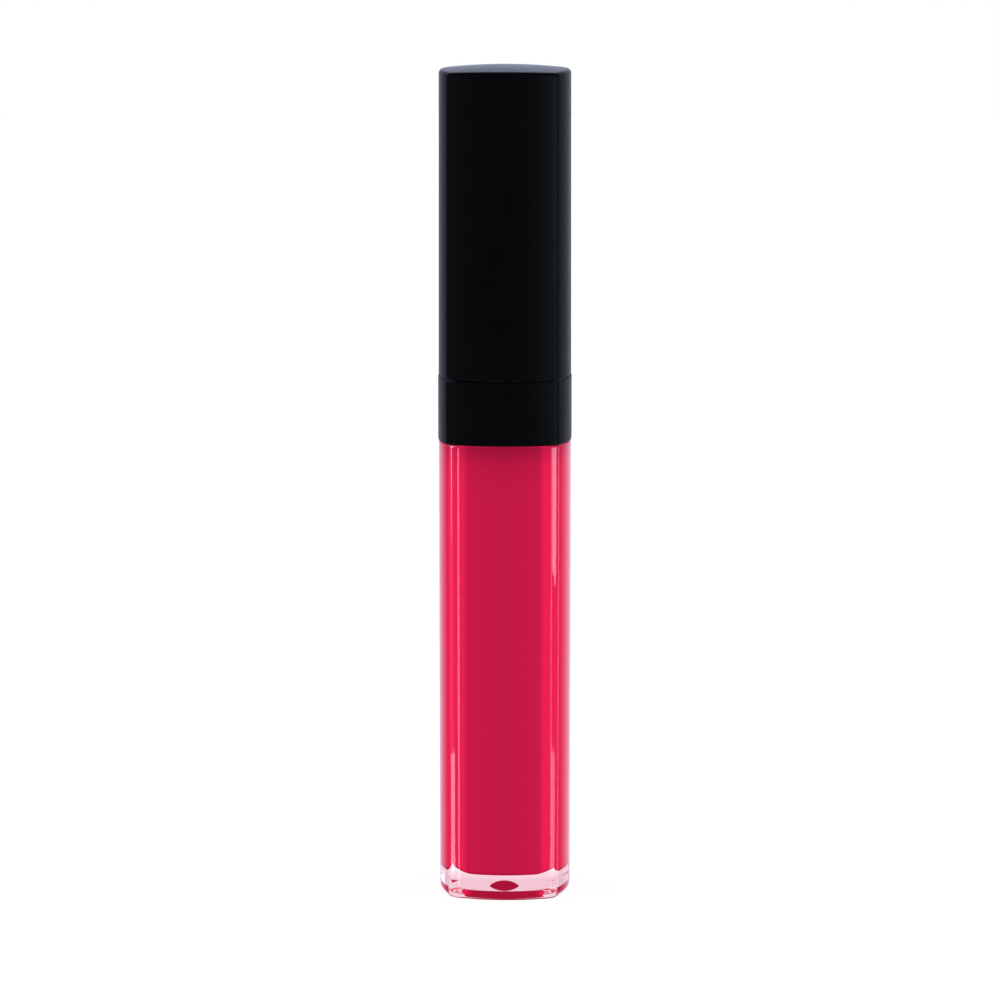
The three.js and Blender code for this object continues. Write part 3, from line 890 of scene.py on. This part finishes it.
def stage_floor():
    """Pale floor that the tube neither mirrors nor is lit by."""
    bpy.ops.mesh.primitive_circle_add(vertices=FLOOR_SIDES, radius=FLOOR_RADIUS, fill_type="NGON")
    floor = bpy.context.object
    floor.name = "floor"
    made = Shader("floor_white", (0.5, 0.5, 0.5), 0.7, Emission_Strength=FLOOR_GLOW)
    made.set("Emission Color", (1, 1, 1, 1))
    floor.data.materials.append(made.material)
    floor.visible_glossy = False
    floor.visible_diffuse = False


def studio_world():
    """White to the camera and through clear plastic. The tube is lit mostly from its two sides, and
    it mirrors a dark room with a pale backdrop behind the tube."""
    world = bpy.data.worlds.new("studio")
    bpy.context.scene.world = world
    world.use_nodes = True
    tree = world.node_tree
    nodes = tree.nodes
    nodes.clear()
    place_in_world = nodes.new("ShaderNodeTexCoord")

    def ramp(stops, along, operation):
        """Colours by how far a direction points along another one, after a Math operation."""
        made = nodes.new("ShaderNodeValToRGB")
        made.color_ramp.elements[0].position, made.color_ramp.elements[0].color = stops[0]
        made.color_ramp.elements[1].position, made.color_ramp.elements[1].color = stops[-1]
        for position, color in stops[1:-1]:
            made.color_ramp.elements.new(position).color = color
        share = nodes.new("ShaderNodeVectorMath")
        share.operation = "DOT_PRODUCT"
        tree.links.new(place_in_world.outputs["Generated"], share.inputs[0])
        share.inputs[1].default_value = along
        changed = nodes.new("ShaderNodeMath")
        changed.operation = operation
        tree.links.new(share.outputs["Value"], changed.inputs[0])
        changed.inputs[1].default_value = 0
        tree.links.new(changed.outputs["Value"], made.inputs["Fac"])
        return made.outputs["Color"]

    def background(color, strength):
        made = nodes.new("ShaderNodeBackground")
        if isinstance(color, tuple):
            made.inputs["Color"].default_value = color
        else:
            tree.links.new(color, made.inputs["Color"])
        made.inputs["Strength"].default_value = strength
        return made.outputs["Background"]

    lit = background(
        ramp([
            (0.0, (0.10, 0.10, 0.10, 1)),
            (0.5, (0.30, 0.30, 0.30, 1)),
            (0.75, (0.54, 0.54, 0.54, 1)),
            (1.0, (0.86, 0.86, 0.86, 1)),
        ], (1, 0, 0), "ABSOLUTE"),
        2.45,
    )
    mirrored = background(
        ramp([
            (0.0, (0.02, 0.02, 0.025, 1)),
            (0.68, (0.02, 0.02, 0.025, 1)),
            (0.74, (0.10, 0.105, 0.13, 1)),
            (0.80, (0.24, 0.25, 0.31, 1)),
            (0.87, (0.43, 0.44, 0.54, 1)),
            (1.0, (0.72, 0.76, 0.92, 1)),
        ], (0, 1, 0), "MAXIMUM"),
        1.3,
    )
    white = background((1.0, 1.0, 1.0, 1), 1.0)
    path = nodes.new("ShaderNodeLightPath")
    glossy = nodes.new("ShaderNodeMixShader")
    tree.links.new(path.outputs["Is Glossy Ray"], glossy.inputs["Fac"])
    tree.links.new(lit, glossy.inputs[1])
    tree.links.new(mirrored, glossy.inputs[2])
    seen = nodes.new("ShaderNodeMixShader")
    direct = nodes.new("ShaderNodeMath")
    direct.operation = "MAXIMUM"
    tree.links.new(path.outputs["Is Camera Ray"], direct.inputs[0])
    tree.links.new(path.outputs["Is Transmission Ray"], direct.inputs[1])
    tree.links.new(direct.outputs["Value"], seen.inputs["Fac"])
    tree.links.new(glossy.outputs["Shader"], seen.inputs[1])
    tree.links.new(white, seen.inputs[2])
    out = nodes.new("ShaderNodeOutputWorld")
    tree.links.new(seen.outputs["Shader"], out.inputs["Surface"])


def softbox(name, azimuth, elevation, width, height, radiance):
    """A rectangular lamp that faces the middle of the tube and shows in its reflections only.
    azimuth and elevation are of its middle; width and height are in degrees, as the tube sees it."""
    lamp = bpy.data.lights.new(name, "AREA")
    lamp.shape = "RECTANGLE"
    lamp.size = LAMP_DISTANCE * math.radians(width)
    lamp.size_y = LAMP_DISTANCE * math.radians(height)
    lamp.energy = radiance * math.pi * lamp.size * lamp.size_y
    lamp.color = LAMP_COLOR
    made = bpy.data.objects.new(name, lamp)
    back = direction(azimuth, elevation)
    made.location = (cad_box[0] + cad_box[1]) / 2 + back * LAMP_DISTANCE
    made.rotation_euler = (-back).to_track_quat("-Z", "Y").to_euler()
    made.visible_diffuse = False
    bpy.context.scene.collection.objects.link(made)


def camera():
    middle = (cad_box[0] + cad_box[1]) / 2
    back = direction(VIEW_TURN, VIEW_RISE)
    right = Vector((math.cos(math.radians(VIEW_TURN)), math.sin(math.radians(VIEW_TURN)), 0))
    up = back.cross(right)
    aim = middle - right * AIM_LEFT - up * AIM_DOWN
    data = bpy.data.cameras.new("camera")
    data.lens = LENS
    data.sensor_width = SENSOR_WIDTH
    data.clip_start = CLIP_START
    made = bpy.data.objects.new("camera", data)
    made.location = middle + back * VIEW_DISTANCE
    made.rotation_euler = (aim - made.location).to_track_quat("-Z", "Y").to_euler()
    bpy.context.scene.collection.objects.link(made)
    bpy.context.scene.camera = made


scene = bpy.context.scene
scene.view_settings.view_transform = "Standard"
scene.cycles.glossy_bounces = GLOSSY_BOUNCES
camera()
studio_world()
softbox("strip_left", -41.6, 0, 1.4, 60, 3.4)
softbox("panel_left", -62, 0, 30, 60, 0.45)
softbox("glow_left", -53, -15.2, 14, 2.4, 4.6)
softbox("panel_right", 57, 5, 30, 32, 4.8)
softbox("strip_right", 41.6, 0, 1.4, 60, 1.6)
softbox("edge_right", 115, 0, 20, 60, 1.2)
softbox("glow_right", 51, -15.2, 18, 2.4, 3.0)
stage_floor()

bottle()
gloss()
collar(satin_black("black_collar", 0.36))
outer_cap(satin_black("black_cap", 0.36))
inner_cap()
wiper()
seal_liner()
cap_weight()
wand_stem()
applicator_core()
applicator_flock()
